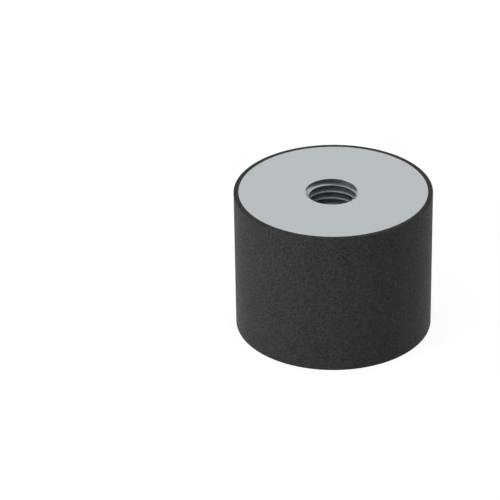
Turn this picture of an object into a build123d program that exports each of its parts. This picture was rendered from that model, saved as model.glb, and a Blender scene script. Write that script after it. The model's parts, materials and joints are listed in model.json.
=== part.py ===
from build123d import *
from math import sqrt
import os

# Bobbin vibration mount: a moulded rubber cylinder with a threaded steel plate bonded into its upper
# end and a plain rubber face at its lower end. Millimetres. +Z is up, and the origin is the centre of
# the lower face, on which the mount stands.

# Driving dimensions
mount_diameter = 40.0
mount_height = 30.0
rim_wall = 1.0  # rubber around the edge of the steel plate, flush with the plate's face
mould_edge_radius = 0.1  # rubber's outer corners, which leave the mould nearly sharp

plate_thickness = 2.0
boss_diameter = 18.0  # threaded boss under the middle of the plate
boss_floor = 2.0  # steel left below the blind thread
boss_root_radius = 1.0  # between the plate's underside and the boss
boss_end_chamfer = 1.0

thread_diameter = 12.0  # metric fine thread, right-hand
thread_pitch = 1.5
thread_depth = 11.0

# Worked out from them
mount_radius = mount_diameter / 2
plate_radius = mount_radius - rim_wall  # the rubber is bonded to the steel, with no gap
plate_underside = mount_height - plate_thickness
boss_radius = boss_diameter / 2
boss_end = mount_height - thread_depth - boss_floor
minor_diameter = thread_diameter - 5 / 8 * sqrt(3) * thread_pitch  # across the thread's crests

os.makedirs("parts", exist_ok=True)

# Half section of the plate and its boss. The steel is turned to it and the rubber is moulded round it.
with BuildSketch(Plane.XZ) as insert_section:
    with BuildLine():
        Polyline(
            (0, boss_end),
            (boss_radius, boss_end),
            (boss_radius, plate_underside),
            (plate_radius, plate_underside),
            (plate_radius, mount_height),
            (0, mount_height),
            close=True,
        )
    make_face()
    boss_corners = insert_section.vertices().filter_by_position(Axis.X, boss_radius, boss_radius)
    fillet(boss_corners.sort_by(Axis.Y)[-1], radius=boss_root_radius)
    boss_corners = insert_section.vertices().filter_by_position(Axis.X, boss_radius, boss_radius)
    chamfer(boss_corners.sort_by(Axis.Y)[0], length=boss_end_chamfer)

# Steel end plate, turned in one piece with its boss and drilled blind to the thread's crests.
with BuildPart() as threaded_end_plate:
    revolve(insert_section.sketch, axis=Axis.Z)
    with Locations((0, 0, mount_height)):
        Hole(radius=minor_diameter / 2, depth=thread_depth)
threaded_end_plate.part.label = "threaded_end_plate"
export_step(threaded_end_plate.part, "parts/threaded_end_plate.step")

# Rubber cylinder, moulded round the edge and the underside of the steel and solid below it.
with BuildPart() as rubber_body:
    with BuildSketch(Plane.XY):
        Circle(mount_radius)
    extrude(amount=mount_height)
    fillet(rubber_body.edges().filter_by(GeomType.CIRCLE), radius=mould_edge_radius)
    revolve(insert_section.sketch, axis=Axis.Z, mode=Mode.SUBTRACT)
rubber_body.part.label = "rubber_body"
export_step(rubber_body.part, "parts/rubber_body.step")
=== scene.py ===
"""Bobbin vibration mount: a moulded rubber cylinder with a threaded, zinc-plated steel plate bonded
flush into its upper end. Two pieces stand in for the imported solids. They add the thread, which the
solids leave out, and procedural materials, and they stand on a pale studio floor."""

import json
import math

import bmesh
import bpy
from bpy.props import FloatProperty, FloatVectorProperty, IntProperty, PointerProperty
from mathutils import Matrix, Vector


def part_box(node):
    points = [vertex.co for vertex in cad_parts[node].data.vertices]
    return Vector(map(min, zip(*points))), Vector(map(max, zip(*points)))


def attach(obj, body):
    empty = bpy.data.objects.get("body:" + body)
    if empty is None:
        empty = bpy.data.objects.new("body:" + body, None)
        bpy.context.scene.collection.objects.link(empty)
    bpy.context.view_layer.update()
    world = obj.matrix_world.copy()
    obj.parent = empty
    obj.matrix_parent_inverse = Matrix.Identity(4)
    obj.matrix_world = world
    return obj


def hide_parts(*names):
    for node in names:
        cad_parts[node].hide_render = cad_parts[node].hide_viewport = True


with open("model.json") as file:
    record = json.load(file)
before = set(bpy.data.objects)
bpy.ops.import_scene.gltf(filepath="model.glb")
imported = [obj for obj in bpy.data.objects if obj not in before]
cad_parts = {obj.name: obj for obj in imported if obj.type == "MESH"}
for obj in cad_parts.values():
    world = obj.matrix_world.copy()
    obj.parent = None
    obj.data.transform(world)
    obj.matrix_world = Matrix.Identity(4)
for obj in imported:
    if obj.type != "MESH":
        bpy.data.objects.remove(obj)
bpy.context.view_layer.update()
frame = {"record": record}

bl_info = {
    "name": "Bobbin vibration mount",
    "version": (1, 0, 0),
    "blender": (4, 5, 0),
    "location": "3D View > Sidebar > Mount",
    "description": "Models a bonded rubber mount with a threaded steel plate, and its studio",
    "category": "Add Mesh",
}

BODY = "root"
MM = 0.001
FULL_TURN = 2 * math.pi

# Meshes
TOUCH = 1e-6  # closer than this, two points of a mesh are the same
ON_PLANE = TOUCH / 10  # closer than this, a point lies on the plane that cuts the mesh
SHARP_ANGLE = math.radians(25)  # faces that meet at more than this show an edge
ROUND = 5  # rows of faces round a softened corner
CHAMFER = 1  # row of faces across a chamfered corner
FLANK_ANGLE = math.radians(30)  # between a flank of the thread and the level
ROOT_FLAT = 1 / 12  # of the pitch, at the bottom of a groove

# Rubber and steel: sizes are in grains, and ranges are of the noise's own value
MOTTLE_SIZE, MOTTLE_SHARE = 9, 0.1
CLOUD_SIZE, CLOUD_SHARE = 14, 0.5
GRAIN_LUMPINESS, SPANGLE_LUMPINESS, SOFT_LUMPINESS = 0.65, 0.6, 0.5
FINE_DETAIL, SOFT_DETAIL = 3, 2
RUBBER_RANGE = (0.26, 0.74)
STEEL_RANGE = (0.35, 0.65)
ROUGHNESS_RANGE = (0.3, 0.7)
RUBBER_SWING, STEEL_SWING = 0.06, 0.02  # how far roughness strays to either side

# Studio
FLOOR_RADIUS = 4.0
FLOOR_SIDES = 64
FLOOR_GAP = 0.02 * MM  # keeps the floor just clear of the mount's lower face
SENSOR_WIDTH = 36  # in millimetres, as the camera's data takes it

BODY_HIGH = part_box("rubber_body")[1]
PLATE_LOW, PLATE_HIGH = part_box("threaded_end_plate")
THREAD_MOUNT = next(mount for mount in frame["record"]["mounts"] if mount["name"] == "thread")


# Settings


class MountSizes(bpy.types.PropertyGroup):
    """Sizes of the rubber and of the steel, in the model's own units"""

    body_radius: FloatProperty(
        name="Body radius",
        description="Radius of the rubber cylinder",
        default=BODY_HIGH[0],
        unit="LENGTH",
        subtype="DISTANCE",
    )
    body_height: FloatProperty(
        name="Body height",
        description="Height of the plate's face above the surface that the mount stands on",
        default=BODY_HIGH[2],
        unit="LENGTH",
        subtype="DISTANCE",
    )
    mould_edge: FloatProperty(
        name="Mould edge",
        description="Radius of the rubber's outer corners",
        default=0.1 * MM,
        unit="LENGTH",
        subtype="DISTANCE",
    )
    plate_radius: FloatProperty(
        name="Plate radius",
        description="Radius of the steel plate inside its rubber rim",
        default=PLATE_HIGH[0],
        unit="LENGTH",
        subtype="DISTANCE",
    )
    plate_thickness: FloatProperty(
        name="Plate thickness",
        description="Thickness of the steel plate",
        default=2.0 * MM,
        unit="LENGTH",
        subtype="DISTANCE",
    )
    boss_radius: FloatProperty(
        name="Boss radius",
        description="Radius of the threaded boss under the plate",
        default=9.0 * MM,
        unit="LENGTH",
        subtype="DISTANCE",
    )
    boss_end: FloatProperty(
        name="Boss end",
        description="Height of the boss's closed lower end",
        default=PLATE_LOW[2],
        unit="LENGTH",
        subtype="DISTANCE",
    )
    boss_corner: FloatProperty(
        name="Boss corner",
        description="Fillet between plate and boss, and chamfer at the boss's end",
        default=1.0 * MM,
        unit="LENGTH",
        subtype="DISTANCE",
    )
    thread_depth: FloatProperty(
        name="Thread depth",
        description="Depth of the blind hole below the plate's face",
        default=THREAD_MOUNT["dims"]["length_mm"] * MM,
        unit="LENGTH",
        subtype="DISTANCE",
    )
    thread_radius: FloatProperty(
        name="Thread radius",
        description="Radius at the bottom of the thread's grooves",
        default=6.0 * MM,
        unit="LENGTH",
        subtype="DISTANCE",
    )
    crest_flat: FloatProperty(
        name="Crest flat",
        description="Width of the flat on the thread's crests, which are cut nearly sharp",
        default=0.03 * MM,
        unit="LENGTH",
        subtype="DISTANCE",
    )
    thread_pitch: FloatProperty(
        name="Pitch",
        description="Rise of the right-hand thread in one turn",
        default=1.5 * MM,
        unit="LENGTH",
        subtype="DISTANCE",
    )
    run_out: FloatProperty(
        name="Run-out",
        description="Length over which the thread fades out above the hole's floor",
        default=2.5 * MM,
        unit="LENGTH",
        subtype="DISTANCE",
    )
    thread_start: FloatProperty(
        name="Thread start",
        description="Angle from +X at which a crest reaches the plate's face",
        default=math.radians(74),
        unit="ROTATION",
        subtype="ANGLE",
    )
    segments: IntProperty(
        name="Segments",
        description="Faces round each turned surface",
        default=192,
        min=48,
    )


class MountFinish(bpy.types.PropertyGroup):
    """Colours and grain of the rubber and of the plated steel"""

    rubber_dark: FloatVectorProperty(
        name="Rubber, dark",
        description="Colour in the hollows of the rubber's grain",
        default=(0.009, 0.009, 0.0091),
        size=3,
        subtype="COLOR",
    )
    rubber_light: FloatVectorProperty(
        name="Rubber, light",
        description="Colour on the peaks of the rubber's grain",
        default=(0.0493, 0.0493, 0.0497),
        size=3,
        subtype="COLOR",
    )
    rubber_grain: FloatProperty(
        name="Rubber grain",
        description="Size of the moulded grain",
        default=0.34 * MM,
        unit="LENGTH",
        subtype="DISTANCE",
    )
    rubber_relief: FloatProperty(
        name="Rubber relief",
        description="Height of the moulded grain",
        default=0.1 * MM,
        unit="LENGTH",
        subtype="DISTANCE",
    )
    rubber_roughness: FloatProperty(
        name="Rubber roughness",
        description="Roughness of the rubber, which its grain varies a little",
        default=0.52,
        subtype="FACTOR",
        min=0,
        max=1,
    )
    rubber_gloss: FloatProperty(
        name="Rubber gloss",
        description="Specular level of the rubber, where an ordinary plastic has 0.5",
        default=0.05,
        subtype="FACTOR",
        min=0,
        max=1,
    )
    steel_dark: FloatVectorProperty(
        name="Steel, dark",
        description="Colour of the duller patches of the zinc",
        default=(0.462, 0.489, 0.509),
        size=3,
        subtype="COLOR",
    )
    steel_light: FloatVectorProperty(
        name="Steel, light",
        description="Colour of the brighter patches of the zinc",
        default=(0.468, 0.496, 0.516),
        size=3,
        subtype="COLOR",
    )
    steel_grain: FloatProperty(
        name="Steel grain",
        description="Size of the zinc's spangle",
        default=0.5 * MM,
        unit="LENGTH",
        subtype="DISTANCE",
    )
    steel_roughness: FloatProperty(
        name="Steel roughness",
        description="Roughness of the zinc, which its spangle varies a little",
        default=0.3,
        subtype="FACTOR",
        min=0,
        max=1,
    )


class MountStudio(bpy.types.PropertyGroup):
    """Camera, lamps and floor"""

    camera_pitch: FloatProperty(
        name="Camera pitch",
        description="How far the camera looks down",
        default=math.radians(29.551),
        unit="ROTATION",
        subtype="ANGLE",
    )
    camera_roll: FloatProperty(
        name="Camera roll",
        description="How far the camera leans, clockwise as it looks",
        default=math.radians(1.08),
        unit="ROTATION",
        subtype="ANGLE",
    )
    camera_distance: FloatProperty(
        name="Camera distance",
        description="Depth of the plate's centre in front of the camera",
        default=0.54054,
        unit="LENGTH",
        subtype="DISTANCE",
    )
    plate_right: FloatProperty(
        name="Plate to the right",
        description="How far the plate's centre lies to the right of the camera's axis",
        default=16.896 * MM,
        unit="LENGTH",
        subtype="DISTANCE",
    )
    plate_up: FloatProperty(
        name="Plate above",
        description="How far the plate's centre lies above the camera's axis",
        default=11.637 * MM,
        unit="LENGTH",
        subtype="DISTANCE",
    )
    focal_length: FloatProperty(
        name="Focal length",
        description="Focal length in millimetres, on a sensor 36 mm wide",
        default=194.13,
    )
    sky_strength: FloatProperty(
        name="Sky strength",
        description="Strength of the even white light from all round",
        default=0.64,
    )
    key_power: FloatProperty(
        name="Key power",
        description="Power of the soft lamp on the left, in watts",
        default=5.4,
    )
    key_bearing: FloatProperty(
        name="Key bearing",
        description="How far round to the left of the camera the soft lamp stands",
        default=math.radians(60),
        unit="ROTATION",
        subtype="ANGLE",
    )
    key_distance: FloatProperty(
        name="Key distance",
        description="Level distance of the soft lamp from the mount",
        default=0.9,
        unit="LENGTH",
        subtype="DISTANCE",
    )
    key_height: FloatProperty(
        name="Key height",
        description="Height of the soft lamp above the floor",
        default=0.2,
        unit="LENGTH",
        subtype="DISTANCE",
    )
    key_size: FloatProperty(
        name="Key size",
        description="Width of the soft lamp",
        default=0.35,
        unit="LENGTH",
        subtype="DISTANCE",
    )
    top_power: FloatProperty(
        name="Top power",
        description="Power of the soft lamp overhead, in watts",
        default=1.3,
    )
    top_height: FloatProperty(
        name="Top height",
        description="Height of the overhead lamp above the floor",
        default=0.9,
        unit="LENGTH",
        subtype="DISTANCE",
    )
    top_size: FloatProperty(
        name="Top size",
        description="Width of the overhead lamp",
        default=0.84,
        unit="LENGTH",
        subtype="DISTANCE",
    )
    floor_glow: FloatProperty(
        name="Floor glow",
        description="Share of plain white in the floor's look; the rest is lit and takes shadow",
        default=0.8,
        subtype="FACTOR",
        min=0,
        max=1,
    )
    floor_white: FloatProperty(
        name="Floor white",
        description="Strength of that white, which makes the floor far from the mount plain white",
        default=1.1,
    )
    floor_colour: FloatVectorProperty(
        name="Floor colour",
        description="Colour of the pale floor",
        default=(0.9, 0.9, 0.9),
        size=3,
        subtype="COLOR",
    )


# Modelling


def ring(bm, radius, height):
    """The edges of the level circle at that radius and height."""

    def on_circle(vert):
        return abs(vert.co.z - height) < TOUCH and abs(vert.co.xy.length - radius) < TOUCH

    return [edge for edge in bm.edges if all(on_circle(vert) for vert in edge.verts)]


def level_boundary(bm, height):
    """The open edges that lie at that height."""
    return [
        edge
        for edge in bm.edges
        if edge.is_boundary and all(abs(vert.co.z - height) < TOUCH for vert in edge.verts)
    ]


def chain(bm, outline):
    """An open chain of edges through (radius, height) points, in the XZ plane."""
    verts = [bm.verts.new((radius, 0, height)) for radius, height in outline]
    edges = [bm.edges.new(pair) for pair in zip(verts, verts[1:])]
    return verts + edges


def wind(bm, outline, segments, rise=0):
    """Spin a chain one full turn round the Z axis, climbing by the rise as a screw does."""
    bmesh.ops.spin(
        bm,
        geom=outline,
        cent=(0, 0, 0),
        axis=(0, 0, 1),
        dvec=(0, 0, rise / segments),
        angle=FULL_TURN,
        steps=segments,
        use_merge=not rise,
    )
    bmesh.ops.remove_doubles(bm, verts=bm.verts, dist=TOUCH)


def soften(bm, edges, size, segments):
    """Bevel edges: one segment makes a chamfer, and more make a radius."""
    bmesh.ops.bevel(
        bm,
        geom=edges,
        offset=size,
        offset_type="OFFSET",
        affect="EDGES",
        segments=segments,
        profile=0.5,
        material=-1,
    )


def cut_level(bm, height, drop_above):
    """Cut the mesh along a level plane, and drop what lies above the plane or below it."""
    bmesh.ops.bisect_plane(
        bm,
        geom=bm.verts[:] + bm.edges[:] + bm.faces[:],
        dist=ON_PLANE,
        plane_co=(0, 0, height),
        plane_no=(0, 0, 1),
        clear_outer=drop_above,
        clear_inner=not drop_above,
    )


def add_object(name, data):
    """Link a new object that stands at the origin."""
    item = bpy.data.objects.new(name, data)
    bpy.context.scene.collection.objects.link(item)
    return item


def mesh_object(bm, name, material):
    """Turn the bmesh into an object of that material."""
    mesh = bpy.data.meshes.new(name)
    bm.to_mesh(mesh)
    bm.free()
    mesh.materials.append(material)
    return add_object(name, mesh)


def finished_piece(bm, name, material, node):
    """Make an object of the closed shell, attach it to the body, and hide the imported part it
    stands for.
    """
    bmesh.ops.remove_doubles(bm, verts=bm.verts, dist=TOUCH)
    bmesh.ops.recalc_face_normals(bm, faces=bm.faces)
    if not all(edge.is_manifold for edge in bm.edges):
        raise RuntimeError(name + " is not a closed shell")
    piece = mesh_object(bm, name, material)
    piece.data.shade_smooth()
    piece.data.set_sharp_from_angle(angle=SHARP_ANGLE)
    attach(piece, BODY)
    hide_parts(node)


def plate_underside(sizes):
    """Height of the plate's lower face."""
    return sizes.body_height - sizes.plate_thickness


def bond_outline(sizes):
    """Where rubber and steel meet, from the plate's rim to the axis under the boss."""
    return [
        (sizes.plate_radius, sizes.body_height),
        (sizes.plate_radius, plate_underside(sizes)),
        (sizes.boss_radius, plate_underside(sizes)),
        (sizes.boss_radius, sizes.boss_end),
        (0, sizes.boss_end),
    ]


def soften_boss(bm, sizes):
    """Round the corner between plate and boss, and chamfer the boss's end."""
    soften(bm, ring(bm, sizes.boss_radius, plate_underside(sizes)), sizes.boss_corner, ROUND)
    soften(bm, ring(bm, sizes.boss_radius, sizes.boss_end), sizes.boss_corner, CHAMFER)


def model_rubber(sizes):
    """The rubber cylinder, with the hollow that the plate and its boss are bonded into."""
    bm = bmesh.new()
    outside = [(0, 0), (sizes.body_radius, 0), (sizes.body_radius, sizes.body_height)]
    wind(bm, chain(bm, outside + bond_outline(sizes)), sizes.segments)
    outer_corners = ring(bm, sizes.body_radius, 0) + ring(bm, sizes.body_radius, sizes.body_height)
    soften(bm, outer_corners, sizes.mould_edge, ROUND)
    soften_boss(bm, sizes)
    return bm


def crest_radius(sizes):
    """Radius of the thread's crests, which the lean of the flanks and the two flats set."""
    flanks = sizes.thread_pitch * (1 - ROOT_FLAT) - sizes.crest_flat
    return sizes.thread_radius - flanks / 2 / math.tan(FLANK_ANGLE)


def thread_outline(sizes):
    """One crest and groove after another, from below the hole's floor to above the plate's face."""
    pitch = sizes.thread_pitch
    crest = crest_radius(sizes)
    lowest = -math.ceil(sizes.thread_depth / pitch) - 1
    highest = 1
    outline = []
    for turn in range(lowest, highest + 1):
        middle = sizes.body_height + turn * pitch
        groove = middle + pitch / 2
        outline += [
            (crest, middle - sizes.crest_flat / 2),
            (crest, middle + sizes.crest_flat / 2),
            (sizes.thread_radius, groove - ROOT_FLAT * pitch / 2),
            (sizes.thread_radius, groove + ROOT_FLAT * pitch / 2),
        ]
    return outline


def fade_thread(bm, sizes, hole_floor):
    """Draw the grooves in to the crests over the run-out, so that the hole ends plain."""
    crest = crest_radius(sizes)
    for vert in bm.verts:
        kept = min(max((vert.co.z - hole_floor) / sizes.run_out, 0), 1)
        radius = vert.co.xy.length
        faded = crest + (radius - crest) * kept
        vert.co.xy *= faded / radius


def cut_thread(bm, sizes):
    """Wind the thread up the hole, and cut it level with the plate's face and the hole's floor."""
    hole_floor = sizes.body_height - sizes.thread_depth
    outline = chain(bm, thread_outline(sizes))
    start = Matrix.Rotation(sizes.thread_start, 3, "Z")
    bmesh.ops.rotate(bm, verts=bm.verts, cent=(0, 0, 0), matrix=start)
    wind(bm, outline, sizes.segments, rise=sizes.thread_pitch)
    fade_thread(bm, sizes, hole_floor)
    cut_level(bm, sizes.body_height, drop_above=True)
    cut_level(bm, hole_floor, drop_above=False)
    bmesh.ops.contextual_create(bm, geom=level_boundary(bm, hole_floor))


def model_plate(sizes):
    """The steel plate, its boss, and the thread that opens through the plate's face."""
    bm = bmesh.new()
    cut_thread(bm, sizes)
    wind(bm, chain(bm, bond_outline(sizes)), sizes.segments)
    soften_boss(bm, sizes)
    bmesh.ops.bridge_loops(bm, edges=level_boundary(bm, sizes.body_height))
    return bm


# Materials


def new_material(name):
    """An empty node material, and a shader in it."""
    material = bpy.data.materials.new(name)
    material.use_nodes = True
    tree = material.node_tree
    tree.nodes.clear()
    return material, tree, tree.nodes.new("ShaderNodeBsdfPrincipled")


def set_surface(tree, surface):
    """Make a shader's output the surface of the material."""
    output = tree.nodes.new("ShaderNodeOutputMaterial")
    tree.links.new(surface, output.inputs["Surface"])


def noise(tree, place, size, detail, lumpiness):
    """A noise whose patches are about that size, in metres."""
    node = tree.nodes.new("ShaderNodeTexNoise")
    node.inputs["Scale"].default_value = 1 / size
    node.inputs["Detail"].default_value = detail
    node.inputs["Roughness"].default_value = lumpiness
    tree.links.new(place, node.inputs["Vector"])
    return node.outputs["Fac"]


def remap(tree, value, source, target):
    """Map a value from one (low, high) range to another, clamped."""
    node = tree.nodes.new("ShaderNodeMapRange")
    node.inputs["From Min"].default_value, node.inputs["From Max"].default_value = source
    node.inputs["To Min"].default_value, node.inputs["To Max"].default_value = target
    tree.links.new(value, node.inputs["Value"])
    return node.outputs["Result"]


def combine(tree, operation, first, second):
    """Combine two values, either of which may be a plain number."""
    node = tree.nodes.new("ShaderNodeMath")
    node.operation = operation
    for socket, value in zip(node.inputs, (first, second)):
        if isinstance(value, bpy.types.NodeSocket):
            tree.links.new(value, socket)
        else:
            socket.default_value = value
    return node.outputs["Value"]


def grain_and_tone(tree, size, lumpiness, patch_size, patch_share):
    """A fine grain, and a tone in which softer patches take a share of it."""
    place = tree.nodes.new("ShaderNodeTexCoord").outputs["Object"]
    grain = noise(tree, place, size, FINE_DETAIL, lumpiness)
    patches = noise(tree, place, patch_size * size, SOFT_DETAIL, SOFT_LUMPINESS)
    fine = combine(tree, "MULTIPLY", grain, 1 - patch_share)
    soft = combine(tree, "MULTIPLY", patches, patch_share)
    return grain, combine(tree, "ADD", fine, soft)


def colour_by(tree, shader, tone, tone_range, dark, light):
    """Colour a shader from dark to light, as the tone runs through its range."""
    node = tree.nodes.new("ShaderNodeMix")
    node.data_type = "RGBA"
    node.inputs["A"].default_value = (*dark, 1)
    node.inputs["B"].default_value = (*light, 1)
    tree.links.new(remap(tree, tone, tone_range, (0, 1)), node.inputs["Factor"])
    tree.links.new(node.outputs["Result"], shader.inputs["Base Color"])


def roughen_by(tree, shader, grain, hollows, peaks):
    """Give a shader one roughness in the grain's hollows and another on its peaks."""
    roughness = remap(tree, grain, ROUGHNESS_RANGE, (hollows, peaks))
    tree.links.new(roughness, shader.inputs["Roughness"])


def raise_by(tree, shader, grain, relief):
    """Raise the surface by the grain, at most that high, in metres."""
    node = tree.nodes.new("ShaderNodeBump")
    node.inputs["Strength"].default_value = 1
    node.inputs["Distance"].default_value = relief
    tree.links.new(grain, node.inputs["Height"])
    tree.links.new(node.outputs["Normal"], shader.inputs["Normal"])


def rubber_material(finish):
    """Matt black rubber with the fine, slightly mottled grain that the mould leaves."""
    material, tree, shader = new_material("moulded black rubber")
    grain, tone = grain_and_tone(
        tree, finish.rubber_grain, GRAIN_LUMPINESS, MOTTLE_SIZE, MOTTLE_SHARE
    )
    colour_by(tree, shader, tone, RUBBER_RANGE, finish.rubber_dark, finish.rubber_light)
    rough = finish.rubber_roughness
    roughen_by(tree, shader, grain, rough + RUBBER_SWING, rough - RUBBER_SWING)
    raise_by(tree, shader, grain, finish.rubber_relief)
    shader.inputs["Specular IOR Level"].default_value = finish.rubber_gloss
    set_surface(tree, shader.outputs["BSDF"])
    return material


def steel_material(finish):
    """Dull zinc plate, with a faint spangle over softer clouds."""
    material, tree, shader = new_material("dull zinc plate")
    spangle, tone = grain_and_tone(
        tree, finish.steel_grain, SPANGLE_LUMPINESS, CLOUD_SIZE, CLOUD_SHARE
    )
    colour_by(tree, shader, tone, STEEL_RANGE, finish.steel_dark, finish.steel_light)
    rough = finish.steel_roughness
    roughen_by(tree, shader, spangle, rough - STEEL_SWING, rough + STEEL_SWING)
    shader.inputs["Metallic"].default_value = 1
    set_surface(tree, shader.outputs["BSDF"])
    return material


def seen_directly(tree):
    """1 for a ray from the camera, a mirror or glass, and 0 for one that only lights a surface."""
    path = tree.nodes.new("ShaderNodeLightPath")
    kinds = ("Is Camera Ray", "Is Glossy Ray", "Is Transmission Ray")
    camera, glossy, through = (path.outputs[kind] for kind in kinds)
    return combine(tree, "MAXIMUM", combine(tree, "MAXIMUM", camera, glossy), through)


def floor_material(studio):
    """A pale floor that looks near white to the camera, and still takes the mount's soft shadow."""
    material, tree, shader = new_material("pale floor")
    shader.inputs["Base Color"].default_value = (*studio.floor_colour, 1)
    shader.inputs["Roughness"].default_value = 1
    shader.inputs["Specular IOR Level"].default_value = 0
    glow = tree.nodes.new("ShaderNodeEmission")
    glow.inputs["Strength"].default_value = studio.floor_white
    blend = tree.nodes.new("ShaderNodeMixShader")
    share, plain_floor, white_floor = blend.inputs
    tree.links.new(combine(tree, "MULTIPLY", seen_directly(tree), studio.floor_glow), share)
    tree.links.new(shader.outputs["BSDF"], plain_floor)
    tree.links.new(glow.outputs["Emission"], white_floor)
    set_surface(tree, blend.outputs["Shader"])
    return material


# Studio


def make_floor(studio):
    """A wide level floor under the mount."""
    bm = bmesh.new()
    bmesh.ops.create_circle(bm, cap_ends=True, radius=FLOOR_RADIUS, segments=FLOOR_SIDES)
    bmesh.ops.translate(bm, verts=bm.verts, vec=(0, 0, -FLOOR_GAP))
    floor = mesh_object(bm, "studio_floor", floor_material(studio))


def make_sky(studio):
    """Even white light from all round, which a camera sees as plain white."""
    world = bpy.data.worlds.new("white studio")
    world.use_nodes = True
    tree = world.node_tree
    background = next(node for node in tree.nodes if node.type == "BACKGROUND")
    background.inputs["Color"].default_value = (1, 1, 1, 1)
    strength = remap(tree, seen_directly(tree), (0, 1), (studio.sky_strength, 1))
    tree.links.new(strength, background.inputs["Strength"])
    bpy.context.scene.world = world


def add_lamp(name, place, aim, size, power):
    """A square soft lamp that faces a point."""
    data = bpy.data.lights.new(name, "AREA")
    data.size = size
    data.energy = power
    lamp = add_object(name, data)
    lamp.location = place
    lamp.rotation_euler = (aim - Vector(place)).to_track_quat("-Z", "Y").to_euler()


def make_lamps(sizes, studio):
    """A soft lamp low on the left and a weaker one overhead, both facing the mount's middle."""
    middle = Vector((0, 0, sizes.body_height / 2))
    across = -studio.key_distance * math.sin(studio.key_bearing)
    ahead = -studio.key_distance * math.cos(studio.key_bearing)
    key_place = (across, ahead, studio.key_height)
    top_place = (0, 0, studio.top_height)
    add_lamp("key", key_place, middle, studio.key_size, studio.key_power)
    add_lamp("top", top_place, middle, studio.top_size, studio.top_power)


def make_camera(sizes, studio):
    """The camera, placed from where the plate's centre lies in its view."""
    pitch = studio.camera_pitch
    right = Vector((1, 0, 0))
    ahead = Vector((0, math.cos(pitch), -math.sin(pitch)))
    up = right.cross(ahead)
    plate_centre = Vector((0, 0, sizes.body_height))
    offset = studio.plate_right * right + studio.plate_up * up + studio.camera_distance * ahead
    axes = Matrix((right, up, -ahead)).transposed().to_4x4()
    roll = Matrix.Rotation(-studio.camera_roll, 4, "Z")
    data = bpy.data.cameras.new("camera")
    data.lens = studio.focal_length
    data.sensor_width = SENSOR_WIDTH
    camera = add_object("camera", data)
    camera.matrix_world = Matrix.Translation(plate_centre - offset) @ axes @ roll
    bpy.context.scene.camera = camera


# Operators


class MOUNT_OT_rubber_body(bpy.types.Operator):
    """Mould the rubber cylinder round the steel plate"""

    bl_idname = "mount.rubber_body"
    bl_label = "Rubber Body"

    def execute(self, context):
        scene = context.scene
        bm = model_rubber(scene.mount_sizes)
        material = rubber_material(scene.mount_finish)
        finished_piece(bm, "moulded_rubber", material, "rubber_body")
        return {"FINISHED"}


class MOUNT_OT_end_plate(bpy.types.Operator):
    """Turn the steel end plate and cut its thread"""

    bl_idname = "mount.end_plate"
    bl_label = "Threaded End Plate"

    def execute(self, context):
        scene = context.scene
        bm = model_plate(scene.mount_sizes)
        material = steel_material(scene.mount_finish)
        finished_piece(bm, "plated_end_plate", material, "threaded_end_plate")
        return {"FINISHED"}


class MOUNT_OT_stage(bpy.types.Operator):
    """Set up the floor, the light and the camera"""

    bl_idname = "mount.stage"
    bl_label = "Studio"

    def execute(self, context):
        scene = context.scene
        make_floor(scene.mount_studio)
        make_sky(scene.mount_studio)
        make_lamps(scene.mount_sizes, scene.mount_studio)
        make_camera(scene.mount_sizes, scene.mount_studio)
        scene.view_settings.view_transform = "Standard"
        return {"FINISHED"}


OPERATORS = (MOUNT_OT_rubber_body, MOUNT_OT_end_plate, MOUNT_OT_stage)
GROUPS = {"mount_sizes": MountSizes, "mount_finish": MountFinish, "mount_studio": MountStudio}
NOT_SETTINGS = ("rna_type", "name")  # every group has these two of its own


class MOUNT_PT_panel(bpy.types.Panel):
    """The mount's pieces and studio, and all their settings, in the 3D view's sidebar"""

    bl_label = "Vibration Mount"
    bl_idname = "MOUNT_PT_panel"
    bl_space_type = "VIEW_3D"
    bl_region_type = "UI"
    bl_category = "Mount"

    def draw(self, context):
        layout = self.layout
        for operator in OPERATORS:
            layout.operator(operator.bl_idname)
        for group in GROUPS:
            settings = getattr(context.scene, group)
            column = layout.column(align=True)
            for name in settings.bl_rna.properties.keys():
                if name not in NOT_SETTINGS:
                    column.prop(settings, name)


CLASSES = (*GROUPS.values(), *OPERATORS, MOUNT_PT_panel)


def register():
    """Register the classes, and give every scene the mount's settings."""
    for cls in CLASSES:
        bpy.utils.register_class(cls)
    for name, group in GROUPS.items():
        setattr(bpy.types.Scene, name, PointerProperty(type=group))


def unregister():
    """Undo register."""
    for name in GROUPS:
        delattr(bpy.types.Scene, name)
    for cls in reversed(CLASSES):
        bpy.utils.unregister_class(cls)


def main():
    """Build the mount and its studio."""
    register()
    bpy.ops.mount.rubber_body()
    bpy.ops.mount.end_plate()
    bpy.ops.mount.stage()


if __name__ == "__main__":
    main()
